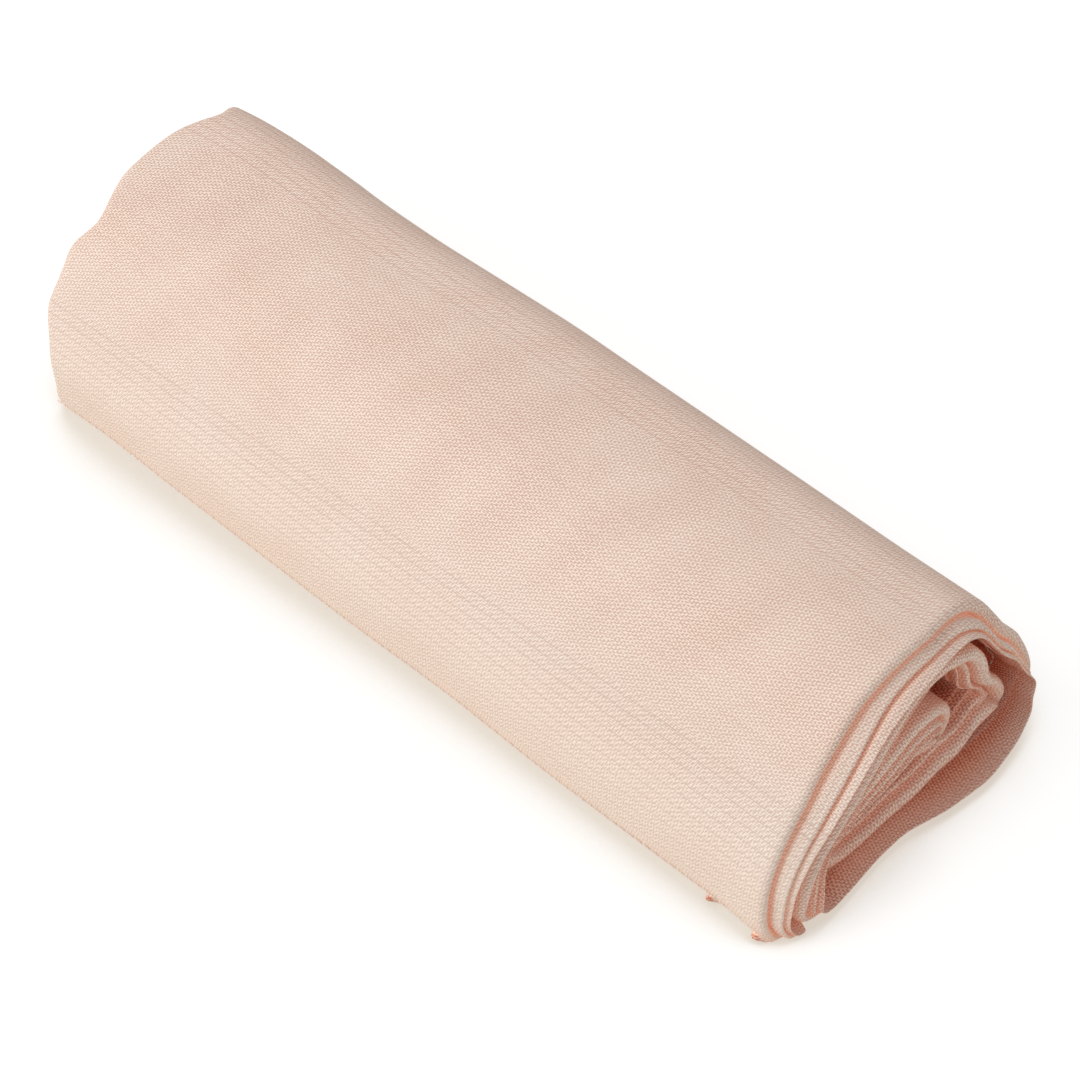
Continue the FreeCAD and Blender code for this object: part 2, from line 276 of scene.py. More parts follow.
LIPS = {name: reach(table) for name, table in (
    ("outer", OUTER_LIP), ("second", SECOND_LIP), ("middle", MIDDLE_LIP),
    ("right_tail", RIGHT_TAIL), ("left_tail", LEFT_TAIL), ("far", FAR_LIP))}


def lip(name, s):
    """Reach of a group of lips along the roll, rounded off at the free edge."""
    missing = np.clip(1.0 - s / (LIP_CORNER * MM), 0.0, 1.0)
    rounding = LIP_CORNER * MM * (1.0 - np.sqrt(1.0 - missing ** 2))
    return np.interp(s / MM, GRID, LIPS[name]) - np.sign(LIPS[name][0]) * rounding


def near_group(depth):
    """The group of lips that a layer belongs to at the open end."""
    for name, last in (("outer", 7), ("second", 11), ("middle", 13), ("right_tail", 14)):
        if depth <= last:
            return name
    return "left_tail"


for lip_name, lip_reach in LIPS.items():
    print("%s lip reaches from %.0f to %.0f mm" % (lip_name, lip_reach.min() / MM,
                                                   lip_reach.max() / MM))

# %% [markdown]
# ## How the bundle slackens
#
# Cloth held only by its own folds swells where nothing presses on it. Soft moves are added
# to the spiral: layers fan apart towards the open end, where the core also slumps, inner
# ones pucker where they have length to spare, the top rises in mid-length, the back swells
# and the foot of the front creeps out over the table. Each move is a smooth field that
# changes little from one layer to the next, so layers follow each other and never cross.

# %% Fields of slack
FAN_START = 112.0 * MM
FAN_END = 146.0 * MM
# (distance along, share by which the stack thickens at the open end)
FAN = [(0, 0.0), (20, 0.1), (40, 0.25), (100, 0.3), (130, 0.35), (170, 0.1), (200, 0.0),
       (225, -0.35), (285, -0.4), (301, -0.15), (323, 0.1), (385, 0.2), (404, 0.35),
       (433, 0.4), (450, 0.4), (470, 0.5), (490, 0.55), (513, 0.5), (540, 0.3), (575, 0.3),
       (600, 0.3), (640, 0.3)]
# (distance along, how far inner turns move in to make room for the fan)
ROOM = [(0, 0), (301, 0), (323, 2.4), (385, 2.4), (400, 0.0), (415, 0.2), (430, 2.4),
        (445, 5.5), (456, 5.0), (468, 1.0), (480, -1.6), (500, -3.0), (513, -3.0), (530, -1.0),
        (545, 0.0), (560, 3.0), (577, 2.0), (600, 0), (640, 0)]
# (distance along, how far the open end of the core hangs down or lifts)
DROOP = [(0, 0), (548, 0), (577, -0.6), (590, -3.0), (601, -4.4), (612, -2.6), (622, 0.6),
         (630, 2.2), (640, 2.4)]
# (distance along, how far the open end of an inner turn slumps towards the front)
SLUMP = [(0, 0), (470, 0), (490, 1.5), (513, 5.0), (528, 6.5), (539, 6.0), (552, 3.0), (565, 1.2),
         (580, 0), (640, 0)]
# (distance along, depth of the puckers)
PUCKER = [(0, 0), (112, 0), (125, 0.1), (139, 0.4), (150, 0.9), (168, 1.7), (190, 1.7),
          (206, 0.6), (222, 0), (378, 0), (390, 1.8), (404, 3.4), (433, 4.4), (450, 4.0),
          (470, 2.6), (490, 1.8), (508, 0.6), (524, 0.0), (560, 0.0), (575, 0.8), (590, 1.0),
          (612, 1.2), (640, 1.4)]
# (place along the roll, how far the foot of the front creeps out)
FOOT = [(-160, -4.4), (-130, -4.6), (-100, -3.0), (-60, -1.4), (-20, 0.1), (20, 0.6), (60, 3.0),
        (100, 4.0), (125, 4.4), (140, 6.0), (155, 7.0)]
# (place along the roll, how far the top of the back swells)
SWELL = [(-170, 2.6), (-150, 4.8), (-130, 5.0), (-110, 4.1), (-95, 2.8), (-70, 2.0), (-40, 2.2),
         (-15, 2.3), (10, 1.5), (40, 0.9), (70, 0.4), (110, -0.4), (150, -0.5)]
ROLL_GRID = np.arange(-190.0, 190.0)
FOOT_CREEP = reach(FOOT, blur=6.0, grid=ROLL_GRID)
BACK_SWELL = reach(SWELL, blur=6.0, grid=ROLL_GRID)
# places along the roll where the free edge comes out in a small flute, with their widths
FLUTES = ((124.0 * MM, 2.8 * MM), (142.0 * MM, 3.4 * MM))
FLUTE_OUT, FLUTE_UP, FLUTE_HEIGHT = 3.2 * MM, 2.0 * MM, 9.0 * MM
# the hem's tuck fades out at the first height, and in a flute at the second
TUCK_HEIGHT, ESCAPE_HEIGHT = 60.0 * MM, 14.0 * MM
print("%d flutes, foot creeps from %.1f to %.1f mm"
      % (len(FLUTES), FOOT_CREEP.min() / MM, FOOT_CREEP.max() / MM))


# %% Smooth fields
def ease(value):
    """0 to 1 with soft ends."""
    t = np.clip(value, 0.0, 1.0)
    return t * t * (3.0 - 2.0 * t)


SMOOTH_LISTS = {name: reach(table, blur=5.0) for name, table in (
    ("fan", FAN), ("room", ROOM), ("droop", DROOP), ("slump", SLUMP),
    ("pucker", PUCKER))}


def listed(name, s):
    return np.interp(s / MM, GRID, SMOOTH_LISTS[name])


def puckers(s, depth):
    """Uneven waves along the section, between -1 and 1, a little out of step by depth."""
    p = s / MM
    step = 1.5 * depth / STACK
    return (0.85 * np.sin(p / 3.3 + 0.9 * np.sin(p / 15.0) + step)
            + 0.15 * np.sin(p / 1.9 + 1.0 + 2.0 * step))


print("lists made smooth:", ", ".join(SMOOTH_LISTS))

# %% Slack of the whole bundle
MID_LIFT = 2.4 * MM
UNEVENNESS = 0.35 * MM
# the back swells away from the roll's middle, this much across and this much up
SWELL_OUT, SWELL_UP = 0.78, 0.62
# the lift of the middle dies away this far along the roll
LIFT_REACH = 165.0 * MM


def slack_field(x, y, z):
    """Moves a point of the neat spiral to where slack cloth lies."""
    middle = 1.0 - np.clip(x / LIFT_REACH, -1.0, 1.0) ** 2
    lift = np.clip(z / high.z, 0.0, 1.0) ** 2
    # the swell begins a little above the floor and just in front of the middle
    swell = np.interp(x / MM, ROLL_GRID, BACK_SWELL)
    swell = swell * ease((z - 12.0 * MM) / (34.0 * MM)) * ease((y + 6.0 * MM) / (30.0 * MM))
    z = z + MID_LIFT * middle * lift + SWELL_UP * swell
    y = y + SWELL_OUT * swell
    # the creep is full at the front of the floor and gone two thirds of the way up
    foot = ease((-30.0 * MM - y) / (22.0 * MM)) * (1.0 - ease(z / (46.0 * MM)))
    y = y - np.interp(x / MM, ROLL_GRID, FOOT_CREEP) * foot
    uneven = UNEVENNESS * np.sin(x / (31.0 * MM) + 1.0) * np.sin(z / (17.0 * MM) + y / (29.0 * MM))
    y = y - uneven * ease(z / (20.0 * MM))
    z = z + uneven * ease(z / (20.0 * MM))
    return x, y, z


lifted = slack_field(0.0, 0.0, high.z)[2] - high.z
print("top rises by %.1f mm in mid-length" % (lifted / MM))


# %% Place of a point of the cloth
def flute_share(x, depth=0.0):
    """1 in the middle of a flute of the outermost layer, 0 away from it."""
    along = np.clip(sum(np.exp(-((x - at) / width) ** 2) for at, width in FLUTES), 0.0, 1.0)
    return along * (1.0 - np.clip(depth / (0.4 * MM), 0.0, 1.0))


def tucked(s, x, depth):
    """Distance along the section once the hem is tucked under, which the flutes escape."""
    escaped = flute_share(x, depth) * ease(1.0 - s / ESCAPE_HEIGHT)
    return s - TUCK_LENGTH * (ease(1.0 - s / TUCK_HEIGHT) - escaped)


def cloth_points(s, x, depth):
    """Where a point of the cloth lies: s along the section, x along the roll, depth in it."""
    flute = flute_share(x, depth) * ease(1.0 - s / FLUTE_HEIGHT)
    s = tucked(s, x, depth)
    flute = flute * ease((s + 2.5 * MM) / (3.5 * MM))
    y, z, angle = section_at(s)
    near = ease((x - FAN_START) / (FAN_END - FAN_START))
    inward = depth * (1.0 + near * listed("fan", s) / MM) + near * listed("room", s)
    share = 0.7 + 0.3 * depth / STACK
    inward = inward + near ** 2 * listed("pucker", s) * share * (0.5 + 0.5 * puckers(s, depth))
    n = unit(angle)
    y = y - n[..., 0] * inward - FLUTE_OUT * flute - near * listed("slump", s)
    z = z - n[..., 1] * inward + FLUTE_UP * flute + near * listed("droop", s)
    # on the floor the tucked layers lie pressed together
    return np.stack(slack_field(x, y, np.maximum(z, 0.3 * depth)), axis=-1)


over_top = np.linspace(90.0, 160.0, 30) * MM
crest = cloth_points(over_top, 0.0 * over_top, 0.0)[:, 2].max()
print("top of the roll in mid-length %.1f mm up" % (crest / MM))


# %% [markdown]
# ## The cloth as one grid
#
# A simulation could fold the cloth, but sixteen layers in a tight roll would fight each
# other for hours. The folding is known exactly, so the mesh is laid out by it instead. Its
# columns follow the cloth from one tail to the other through all sixteen layers, round a
# half ellipse at each fold, and its rows are spaced along the spiral. Columns are close
# together where light will catch a lip and far apart where layers are hidden. The grid is
# cut in two under the bundle, because only the outer turn bends with the flap.

# %% Columns along the cloth
CLOTH_LENGTH = 4.6
SIXTEENTH = CLOTH_LENGTH / LAYERS
NEAR_FINE = (0, 0.8, 1.6, 2.6, 4) + tuple(range(5, 36))
NEAR_MIDDLE = (0, 0.7, 1.5, 2.4, 3.4, 4.5, 5.6, 6.6, 7.6, 9.5, 13, 18, 25, 36)
NEAR_COARSE = (0, 2, 5, 10, 18, 32)
FAR_FINE = (0, 1, 2.5, 4.5, 7, 10, 14, 18, 23, 28, 34)
FAR_COARSE = (0, 10, 30)
MIDDLE_FROM, MIDDLE_TO = -106.0, 72.0
# the band of cloth between one lip and the next swells like a cord
PUFFED = {8: "outer", 12: "second"}
PUFF = 0.15
CAP_BULGE = {"outer": 2.5 * MM, "second": 1.7 * MM, "middle": 0.7 * MM, "far": 3.4 * MM}
# half the number of layer gaps that the widest fold of each group spans
WIDEST = {"outer": 3.5, "second": 1.5, "middle": 0.5, "far": 7.5}
FINE_CAP, COARSE_CAP = 9, 5


def leg_columns(depth, middle_step):
    """Columns of one sixteenth from its near end to its far end, as (kind, distance)."""
    if depth == 0:
        near, far, step = NEAR_FINE, FAR_FINE, middle_step
    elif depth == 1:
        near, far, step = NEAR_FINE, FAR_COARSE, 46.0
    elif depth == LAYERS - 1:
        near, far, step = NEAR_MIDDLE, FAR_FINE[::2], middle_step * 3
    elif depth >= 8:
        near, far, step = NEAR_MIDDLE, FAR_COARSE, 46.0
    else:
        near, far, step = NEAR_COARSE, FAR_COARSE, 46.0
    count = int(round((MIDDLE_TO - MIDDLE_FROM) / step)) + 1
    middle = np.linspace(MIDDLE_TO, MIDDLE_FROM, count)
    return ([("near", d * MM) for d in near] + [("at", x * MM) for x in middle]
            + [("far", d * MM) for d in reversed(far)])


NEAR_START, FAR_START = 160.0 * MM, -165.0 * MM
print("outermost sixteenth has %d columns, a hidden one %d"
      % (len(leg_columns(0, 2.0)), len(leg_columns(5, 2.0))))


# %% Lay the columns out
def columns_of(s, middle_step):
    """Every column's depth, reach, distance from the lip and place along the cloth.

    The place is given twice, as the left and as the right side of a strip of faces. The two
    differ only in the middle of a fold, where the weave of one sixteenth gives way to the next.
    """
    depths, reaches, rims, lefts, rights = [], [], [], [], []

    def add(depth, x, rim, place, place_before=None):
        depths.append(np.zeros_like(s) + depth * LAYER)
        reaches.append(x)
        rims.append(rim)
        lefts.append(place)
        rights.append(place if place_before is None else place_before)

    for part in range(LAYERS):
        depth = DEPTH_OF[part]
        group = near_group(depth)
        bulge = CAP_BULGE.get(group, 0.0)
        near_edge = lip(group, s) - bulge
        far_edge = lip("far", s) + CAP_BULGE["far"]
        starts_near = part % 2 == 0
        leg = leg_columns(depth, middle_step)
        for kind, value in leg if starts_near else reversed(leg):
            if kind == "near":
                x = near_edge - value
            elif kind == "far":
                x = far_edge + value
            else:
                x = np.full_like(s, value)
            gone = NEAR_START - x if starts_near else x - FAR_START
            puffed = depth
            if depth in PUFFED:
                width = np.maximum(near_edge - lip(PUFFED[depth], s), 2.5 * MM)
                swell = np.sin(math.pi * np.clip((near_edge - x) / width, 0.0, 1.0))
                puffed = depth - PUFF * width / LAYER * swell
            add(puffed, x, near_edge - x, part * SIXTEENTH + gone)
        if part + 1 == LAYERS:
            break
        following = DEPTH_OF[part + 1]
        half = abs(following - depth) / 2.0
        steps = FINE_CAP if half in WIDEST.values() else COARSE_CAP
        widest = WIDEST["far" if starts_near else group]
        edge = far_edge if starts_near else near_edge
        out = (-CAP_BULGE["far"] if starts_near else bulge) * half / widest
        turns = np.linspace(0.0, math.pi, steps + 1)
        chords = np.hypot(out * np.diff(np.sin(turns)), half * LAYER * np.diff(np.cos(turns)))
        before = lefts[-1]
        after = (part + 1) * SIXTEENTH + (edge - FAR_START if starts_near else NEAR_START - edge)
        for step in range(1, steps):
            d = (depth + following) / 2.0 + (depth - following) / 2.0 * math.cos(turns[step])
            x = edge + out * math.sin(turns[step])
            first = before + chords[:step].sum()
            second = after - chords[step:].sum()
            middle = steps // 2 + 1
            add(d, x, near_edge - edge, first if step < middle else second,
                first if step == middle else None)
    return [np.array(v).T for v in (depths, reaches, rims, lefts, rights)]


print("a row crosses %d columns" % columns_of(np.zeros(1), 2.0)[0].shape[1])


# %% Mark the faces
# distances along the section: where the second turn begins, how far the flap covers it, and
# where the core begins
SECOND_TURN, FLAP_COVER, CORE = 285.0 * MM, 365.0 * MM, 540.0 * MM
# the inner faces get their mark from here to the open end
OPEN_END = 95.0 * MM


# The mark steers the cloth material's painted shade: faces marked 1 get the most, faces marked -1
# none.
def face_side(s, x, depth, rim):
    """1 on faces that look into the open end, -1 on the bundle's outside, 0 between them."""
    turned_in = ease((s - SECOND_TURN) / (20.0 * MM))
    outer_layers = ease(1.0 - 2.0 * depth / STACK)
    inner_face = ease((depth - 4.5 * MM) / (2.5 * MM)) * (1.0 - turned_in)
    outer_face = outer_layers * turned_in * ease((CORE - s) / (20.0 * MM))
    under_flap = outer_layers * ease((FLAP_COVER - s) / (25.0 * MM))
    faces = np.maximum(inner_face, outer_face) * (0.5 + 0.5 * ease(rim / (11.0 * MM)))
    shares = np.maximum(faces, 0.5 * turned_in) * ease((x - OPEN_END) / (30.0 * MM))
    shares = shares * (1.0 - under_flap)
    # the small openings of the flutes are marked too, so they get painted rust shade
    flute_shade = flute_share(x) ** 2 * ease((7.0 * MM - s) / (2.0 * MM)) * ease(s / MM + 1.0)
    flute_shade = flute_shade * ease(1.5 - depth / LAYER)
    outermost = ease(1.0 - depth / (0.8 * MM))
    bare = (1.0 - turned_in) * ease((rim - 1.0 * MM) / (2.0 * MM))
    covered = turned_in * under_flap * ease((rim - 8.0 * MM) / (6.0 * MM))
    return np.maximum(shares, flute_shade) - outermost * np.maximum(bare, covered) * (1.0 - flute_shade)


inner_mark = face_side(np.zeros(1), high.x, np.array([STACK]), 20.0 * MM)
print("the hem's inner face is marked %.1f at the open end" % inner_mark[0])


# %% Make the mesh
def grid_mesh(name, rows, middle_step):
    """Mesh of the cloth between the given rows, with its own length and width as a UV map."""
    depth, x, rim, left, right = columns_of(rows, middle_step)
    s = np.repeat(rows[:, None], x.shape[1], axis=1)
    points = cloth_points(s, x, depth)
    count_rows, count_columns = x.shape
    index = np.arange(count_rows * count_columns).reshape(count_rows, count_columns)
    quads = np.stack([index[:-1, :-1], index[:-1, 1:], index[1:, 1:], index[1:, :-1]], axis=-1)
    quads = quads.reshape(-1, 4)
    mesh = bpy.data.meshes.new(name)
    mesh.from_pydata(points.reshape(-1, 3).tolist(), [], quads.tolist())
    places = np.stack([left[:-1, :-1], right[:-1, 1:], right[1:, 1:], left[1:, :-1]], axis=-1)
    flat = np.stack([places.ravel(), tucked(s, x, depth).ravel()[quads.ravel()]], axis=-1)
    uv = mesh.uv_layers.new(name="cloth")
    uv.data.foreach_set("uv", flat.ravel())
    side = mesh.attributes.new("side", "FLOAT", "POINT")
    side.data.foreach_set("value", face_side(s, x, depth, rim).ravel())
    mesh.shade_smooth()
    piece = bpy.data.objects.new(name, mesh)
    bpy.context.scene.collection.objects.link(piece)
    print("%s: %d rows, %d columns" % (name, count_rows, count_columns))
    return piece


# %% Outer turn and inner turns
# the seam between the two pieces lies under the bundle, behind its middle
SEAM = 222.0 * MM
OUTER_STEP = 1.3 * MM
INNER_STEP = 1.6 * MM
outer_rows = np.linspace(0.0, SEAM, int(SEAM / OUTER_STEP) + 1)
inner_rows = np.linspace(SEAM, SECTION_LENGTH, int((SECTION_LENGTH - SEAM) / INNER_STEP) + 1)
outer_turn = grid_mesh("cloth_outer_turn", outer_rows, 2.0)
inner_turns = grid_mesh("cloth_inner_turns", inner_rows, 8.0)

# %% [markdown]
# ## Nodes written as sums
#
# A material's maths is easier to read as a formula than as a list of links. This class
# stands for one socket: adding or multiplying it makes the Math node, and any other node
# comes from its one method.

# %% Shader maths
class Signal:
    """An output socket in a material, with arithmetic."""

    def __init__(self, tree, socket=None):
        self.tree = tree
        self.socket = socket

    def node(self, kind, settings=None, inputs=None, output=0):
        """Any node: its settings first, then the values or links of its sockets."""
        made = self.tree.nodes.new(kind)
        for name, value in (settings or {}).items():
            setattr(made, name, value)
        for name, value in (inputs or {}).items():
            if isinstance(value, Signal):
                self.tree.links.new(value.socket, made.inputs[name])
            else:
                made.inputs[name].default_value = value
        return Signal(self.tree, made.outputs[output])

    def maths(self, operation, *values):
        return self.node("ShaderNodeMath", {"operation": operation}, dict(enumerate(values)))

    def __add__(self, other):
        return self.maths("ADD", self, other)

    def __sub__(self, other):
        return self.maths("SUBTRACT", self, other)

    def __rsub__(self, other):
        return self.maths("SUBTRACT", other, self)

    def __mul__(self, other):
        return self.maths("MULTIPLY", self, other)

    __radd__ = __add__
    __rmul__ = __mul__

    def sine(self):
        return self.maths("SINE", self)

    def size(self):
        return self.maths("ABSOLUTE", self)

    def between(self, low_edge, high_edge):
        """0 below one value, 1 above another, soft in between."""
        return self.node("ShaderNodeMapRange", {"interpolation_type": "SMOOTHSTEP"},
                         {"Value": self, "From Min": low_edge, "From Max": high_edge})

    def mix(self, first, second):
        """The first colour where this is 0, the second where it is 1."""
        return self.node("ShaderNodeMix", {"data_type": "RGBA"},
                         {"Factor": self, 6: first, 7: second}, output=2)


print("a Signal can", ", ".join(name for name in vars(Signal) if "__" not in name))


# %% Colours, maps and materials
def linear(*levels):
    """A colour given in display levels, 0 to 255, as the renderer wants it."""
    shares = [v / 255.0 for v in levels]
    return [v / 12.92 if v <= 0.04045 else ((v + 0.055) / 1.055) ** 2.4 for v in shares] + [1.0]


def cloth_map(start):
    """The cloth's UV map, and its two coordinates in metres: along the cloth and across it."""
    uv = start.node("ShaderNodeUVMap", {"uv_map": "cloth"})
    return uv, [start.node("ShaderNodeSeparateXYZ", None, {0: uv}, output=k) for k in (0, 1)]


def noise(start, uv, scale, detail, roughness):
    """Flat noise over the cloth, between 0 and 1."""
    return start.node("ShaderNodeTexNoise", {"noise_dimensions": "2D"},
                      {"Vector": uv, "Scale": scale, "Detail": detail, "Roughness": roughness})


def new_material(name):
    """A material emptied of its nodes, and a Signal to build with."""
    material = bpy.data.materials.new(name)
    material.use_nodes = True
    material.node_tree.nodes.clear()
    return material, Signal(material.node_tree)


def finish(start, shader):
    """Link the shader to the material's output."""
    output = start.tree.nodes.new("ShaderNodeOutputMaterial")
    start.tree.links.new(shader.socket, output.inputs["Surface"])


print("mid grey (128) is %.3f to the renderer" % linear(128)[0])

# %% [markdown]
# ## The woven cloth
#
# The sling is woven of cream yarns over a blush warp, soft and matt. Rows of yarn lie 0.6 mm
# apart across the cloth, and the yarns' own twist slants each float. An image texture would
# fix one light in it, so the weave is worked out from the cloth's own length and width: a few
# waves added together give slanted floats, and noise sets them a little out of line. Where
# the cloth looks into the roll or into a crevice, painted shade turns both yarns rust, darkest
# in the gaps between the floats, standing in for light bounced between folds, and narrow gaps
# get a painted glow.

# %% Values of the weave
# (cycles per metre along the cloth, cycles per metre across it, strength)
PLAIN_WAVES = ((455.0, -850.0, 0.65), (930.0, -280.0, 0.6), (460.0, -400.0, 0.15),
               (60.0, 1690.0, 0.8), (475.0, 860.0, 0.55), (950.0, 180.0, 0.45),
               (440.0, -1290.0, 0.45))
# in a rib the floats bend: the last number says how far, in radians from groove to crest
RIB_WAVES = ((910.0, -600.0, 0.5, 0.6), (400.0, -640.0, 0.45, 1.0), (950.0, 50.0, 0.4, 0.0),
             (60.0, 1690.0, 0.6, 0.0), (1450.0, -340.0, 0.4, 0.0))
# this one of the plain waves is stronger inside the roll, where the weave looks coarser
INNER_WAVE = (475.0, 860.0)
RIB_PERIOD = 3.4 * MM
# bands of ribs repeat across the cloth
BAND_PERIOD = 101.0 * MM
BAND_MIDDLE = 28.0 * MM
BAND_EDGES = (0.36, 0.46)
# the grooves' depth as a share of a float's height
GROOVE_DEPTH = 0.4
print("%d waves make the plain weave, %d the ribbed one" % (len(PLAIN_WAVES), len(RIB_WAVES)))


# %% Weave pattern
def wave(uv_parts, frequencies, offset=0.0):
    """A sine wave over the cloth, given by its cycles per metre along and across."""
    length, width = uv_parts
    phase = (length * (2.0 * math.pi * frequencies[0]) + width * (2.0 * math.pi * frequencies[1]))
    return (phase + offset).sine()


def weave(start, uv, uv_parts, hidden):
    """Floats of the weft (1) over the warp (-1), and the share of grooves between ribs."""
    wander = (noise(start, uv, 420.0, 1.0, 0.5) - 0.5) * 1.6
    plain = (noise(start, uv, 1500.0, 1.0, 0.6) - 0.5) * 2.4
    rib = wave(uv_parts, (0.0, 0.5 / RIB_PERIOD), wander * 0.12).size()
    groove = 1.0 - rib.between(0.0, 0.4)
    ribbed = plain - groove * 0.7
    for along, across, strength in PLAIN_WAVES:
        plain = plain + wave(uv_parts, (along, across), wander) * strength
    for along, across, strength, bend in RIB_WAVES:
        ribbed = ribbed + wave(uv_parts, (along, across), wander + rib * bend) * strength
    in_band = wave(uv_parts, (0.0, 1.0 / BAND_PERIOD),
                   0.5 * math.pi - 2.0 * math.pi * BAND_MIDDLE / BAND_PERIOD)
    in_band = (in_band + wander * 0.01).between(*BAND_EDGES) * (1.0 - hidden)
    plain = plain + wave(uv_parts, INNER_WAVE, wander) * 0.5 * hidden
    field = (plain * (1.0 - in_band) + ribbed * 1.35 * in_band) * (1.0 + 0.6 * hidden)
    return field.between(-1.0, 1.0), in_band * groove


print("a rib every %.1f mm, in bands %.0f mm apart" % (RIB_PERIOD / MM, BAND_PERIOD / MM))


# %% Cloth material
def painted_roll_shade(start, side, hidden):
    """Share of painted rust shade on a face, 0 to 1, from how closed in it is, and the share of
    painted glow in narrow gaps.
    """
    near_gap, far_gap = [
        start.node("ShaderNodeAmbientOcclusion", {"samples": 6}, {"Distance": reach_of_ray},
                   output=1) for reach_of_ray in (7.0 * MM, 45.0 * MM)]
    near_open = near_gap.between(0.1, 0.9)
    # inside the open end light only reaches the cloth after it has bounced off cloth, and this
    # share paints that bounced shade in rust
    inside = hidden * (1.0 - far_gap.between(0.65, 0.95))
    open_share = (0.6 + 0.4 * near_open) * (0.2 + 0.8 * far_gap.between(0.05, 0.5))
    within = side.between(-1.0, 0.0)
    tight = (1.0 - near_open) * within
    painted_shade = (1.0 - open_share * (1.0 - 0.8 * inside)) * within * (1.0 - tight * 0.4)
    return painted_shade, tight * (1.0 - hidden)


def woven():
    """Matt cream and blush cotton, with painted rust shade in crevices and where it looks into the
    roll, and a painted glow in narrow gaps.
    """
    material, start = new_material("woven_cotton")
    uv, (length, width) = cloth_map(start)
    side = start.node("ShaderNodeAttribute", {"attribute_name": "side"}, None, output=2)
    hidden = side.between(0.0, 1.0)
    floats, grooves = weave(start, uv, (length, width), hidden)
    cloudy = noise(start, uv, 38.0, 5.0, 0.6).between(0.3, 0.7)
    cream = cloudy.mix(linear(255, 239, 225), linear(255, 235, 219))
    blush = cloudy.mix(linear(220, 185, 169), linear(214, 177, 160))
    # towards the free edge the blush is mixed paler
    pale = (1.0 - width.between(0.015, 0.085)) * 0.8
    blush = pale.mix(blush, linear(224, 207, 194))
    painted_shade, narrow = painted_roll_shade(start, side, hidden)
    # painted shade: in crevices and inside the open end both yarns are painted rust, the warp
    # darker
    colour = floats.mix(painted_shade.mix(blush, linear(202, 76, 34)),
                        painted_shade.mix(cream, linear(255, 166, 120)))
    bump = start.node("ShaderNodeBump", None,
                      {"Strength": 0.55, "Distance": 0.14 * MM,
                       "Height": floats - grooves * GROOVE_DEPTH})
    # a painted glow in the narrow gaps, standing in for light that seeps through thin cloth, keeps
    # them from going black
    painted_glow = narrow.mix((0.0, 0.0, 0.0, 1.0), (1.0, 0.74, 0.54, 1.0))
    shader = start.node("ShaderNodeBsdfPrincipled", None,
                        {"Base Color": colour, "Roughness": 0.88, "Normal": bump,
                         "Sheen Weight": 0.03, "Sheen Roughness": 0.5,
                         "Emission Color": painted_glow, "Emission Strength": 0.15,
                         "Specular IOR Level": 0.12})
    finish(start, shader)
    return material


cloth_material = woven()
for piece in (outer_turn, inner_turns):
    piece.data.materials.append(cloth_material)
print("cloth material has %d nodes" % len(cloth_material.node_tree.nodes))

# %% [markdown]
# ## Stitches
#
# The hems of the two tails and of the two rails are sewn with a matt thread of the cloth's
# own shade. A drawn line would vanish from the side, so each stitch is a slim dome of its
# own, laid along the seam and turned to the face that it is sewn to.

# %% Values of the stitches
STITCH_LENGTH = 2.3 * MM
STITCH_SPACING = 3.1 * MM
THREAD_WIDTH = 0.7 * MM
THREAD_RISE = 0.3 * MM
THREAD_CLEARANCE = 0.04 * MM
STITCH_RINGS, STITCH_SIDES = 8, 6
HEM = 9.0 * MM


def face_frame(s, x, depth):
    """Points of the cloth, and unit normals pointing out of the roll."""
    step = 0.4 * MM
    along_section = cloth_points(s + step, x, depth) - cloth_points(s - step, x, depth)
    along_roll = cloth_points(s, x + step, depth) - cloth_points(s, x - step, depth)
    normal = np.cross(along_roll, along_section)
    return cloth_points(s, x, depth), normal / np.linalg.norm(normal, axis=-1, keepdims=True)


on_top = np.full((1, 1), 130.0 * MM)
print("normal on the top:", face_frame(on_top, 0.0 * on_top, 0.0)[1].round(2).tolist())


# %% Stitch pieces
def grid_faces(blocks, rows, columns):
    """Quads of several separate grids of points, one after another."""
    index = np.arange(blocks * rows * columns).reshape(blocks, rows, columns)
    quads = [index[:, :-1, :-1], index[:, 1:, :-1], index[:, 1:, 1:], index[:, :-1, 1:]]
    return np.stack(quads, axis=-1).reshape(-1, 4)


def piece_from(name, points, quads, flat):
    """A smooth mesh piece with a UV map from a second set of coordinates."""
    mesh = bpy.data.meshes.new(name)
    mesh.from_pydata(points.reshape(-1, 3).tolist(), [], quads.tolist())
    uv = mesh.uv_layers.new(name="cloth")
    uv.data.foreach_set("uv", flat.reshape(-1, 2)[quads.ravel()].ravel())
    mesh.shade_smooth()
    piece = bpy.data.objects.new(name, mesh)
    bpy.context.scene.collection.objects.link(piece)
    return piece


def stitch_row(name, s_places, x_places, depth, side, along_roll):
    """Domed stitches at the given places, on the outer face (side 1) or the inner (-1)."""
    run = np.linspace(-1.0, 1.0, STITCH_RINGS)
    turn = np.linspace(0.0, math.pi, STITCH_SIDES)
    fullness = np.sqrt(1.0 - run ** 4)[:, None]
    across = 0.5 * THREAD_WIDTH * fullness * np.cos(turn)
    rise = THREAD_RISE * fullness * np.sin(turn)
    lengthwise = np.repeat(0.5 * STITCH_LENGTH * run[:, None], STITCH_SIDES, axis=1)
    ds, dx = (across, lengthwise) if along_roll else (lengthwise, across)
    s = np.asarray(s_places)[:, None, None] + ds
    x = np.asarray(x_places)[:, None, None] + dx
    points, normal = face_frame(s, x, np.full(s.shape, depth))
    points = points + side * normal * (rise + THREAD_CLEARANCE)[..., None]
    flat = np.stack([lengthwise + 0.0 * s, across + 0.0 * s], axis=-1)
    print(name, len(s), "stitches")
    return piece_from(name, points, grid_faces(len(s), STITCH_RINGS, STITCH_SIDES), flat)


def spaced(first, last):
    """Places of stitches between two ends."""
    return np.linspace(first, last, int(abs(last - first) / STITCH_SPACING))


print("%d stitches fit on a rail of 300 mm" % len(spaced(0.0, 300.0 * MM)))

